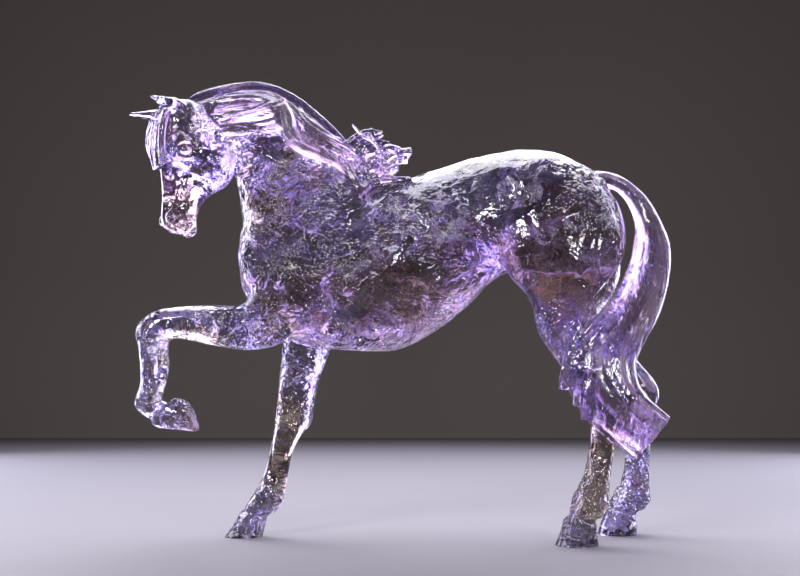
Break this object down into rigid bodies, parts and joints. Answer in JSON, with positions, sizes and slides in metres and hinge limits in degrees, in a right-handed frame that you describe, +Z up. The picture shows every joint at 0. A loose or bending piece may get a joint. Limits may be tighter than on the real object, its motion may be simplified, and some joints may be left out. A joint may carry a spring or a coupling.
{
  "type": "horse sculpture",
  "caption": "Carved clear-crystal horse standing with its left forefoot raised, head turned to its left, flowing mane and a long tail of twisted strands",
  "frame": {"origin": "On the ground, under the middle of the horse's bounding box", "axes": "+Z up. The horse faces -X. Its left side, the one with the raised forefoot, faces -Y, and its right side faces +Y."},
  "size_m": [0.3442, 0.0916, 0.2959],
  "materials": {
    "crystal": "polished"
  },
  "bodies": {
    "root": {"crystal_horse": "crystal"}
  },
  "joints": []
}
